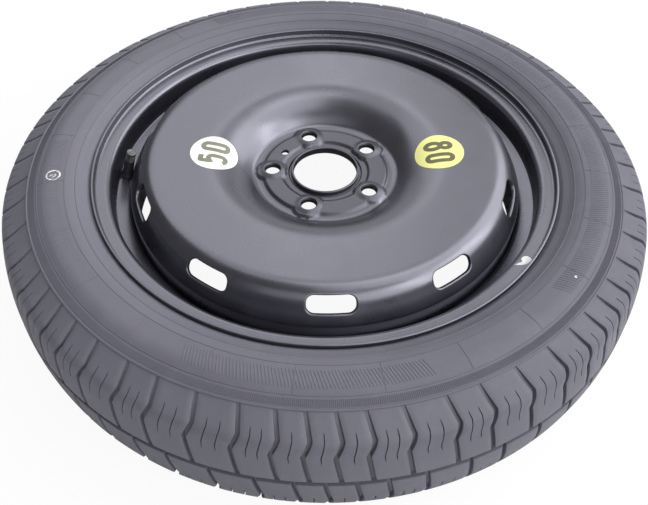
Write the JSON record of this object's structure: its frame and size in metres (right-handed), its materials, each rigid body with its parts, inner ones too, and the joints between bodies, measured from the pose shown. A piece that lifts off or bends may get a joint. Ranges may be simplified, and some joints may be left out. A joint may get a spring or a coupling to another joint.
{
  "type": "spare wheel",
  "caption": "Narrow temporary spare car wheel: slim tyre on a black pressed-steel wheel with dished hub, bolt seats, vent slots, snap-in valve and two round speed stickers.",
  "frame": {"origin": "centre of the hub bore in the hub mounting face", "axes": "+Z along the wheel axis out of the outer face, the wheel lying with that face up; the bolt seats start at -X, where the valve is too"},
  "size_m": [0.652, 0.652, 0.1362],
  "materials": {
    "tyre_rubber": "matte moulded rubber",
    "black_paint": "semi-gloss black dip paint",
    "valve_rubber": "smooth black rubber",
    "valve_brass": "turned",
    "core_pin_brass": "turned",
    "seal_rubber": "smooth",
    "spring_steel": "drawn wire",
    "gasket_plastic": "smooth",
    "cap_plastic": "moulded, fluted",
    "label_white": "printed vinyl film",
    "label_yellow": "printed vinyl film"
  },
  "bodies": {
    "wheel": {"tyre": "tyre_rubber", "rim": "black_paint", "wheel_disc": "black_paint", "disc_welds": "black_paint", "valve_body": "valve_rubber", "valve_stem": "valve_brass", "valve_core_barrel": "valve_brass", "valve_core_spring": "spring_steel", "valve_core_gasket": "gasket_plastic", "speed_label_50": "label_white", "speed_label_80": "label_yellow"},
    "core_pin": {"valve_core_pin": "core_pin_brass", "valve_core_seal": "seal_rubber"},
    "cap_washer": {"valve_cap_seal": "seal_rubber"},
    "cap": {"valve_cap": "cap_plastic"}
  },
  "joints": [
    {"name": "core_pin_press", "type": "slide", "parent": "wheel", "child": "core_pin", "axis": [-0.2919, 0.0168, -0.9563], "range_m": [0, 0.001], "stiffness_N_per_m": 1500, "deforming": ["valve_core_spring"]},
    {"name": "cap_lift", "type": "slide", "parent": "wheel", "child": "cap_washer", "axis": [0.2919, -0.0168, 0.9563], "range_m": [0, 0.00437]},
    {"name": "cap_turn", "type": "hinge", "parent": "cap_washer", "child": "cap", "pos_m": [-0.19879, 0.01146, 0.01708], "axis": [0.2919, -0.0168, 0.9563], "range_deg": [0, 1980]}
  ],
  "couplings": [
    {"joint": "cap_turn", "follows": "cap_lift", "rad_per_m": 7915.8}
  ]
}
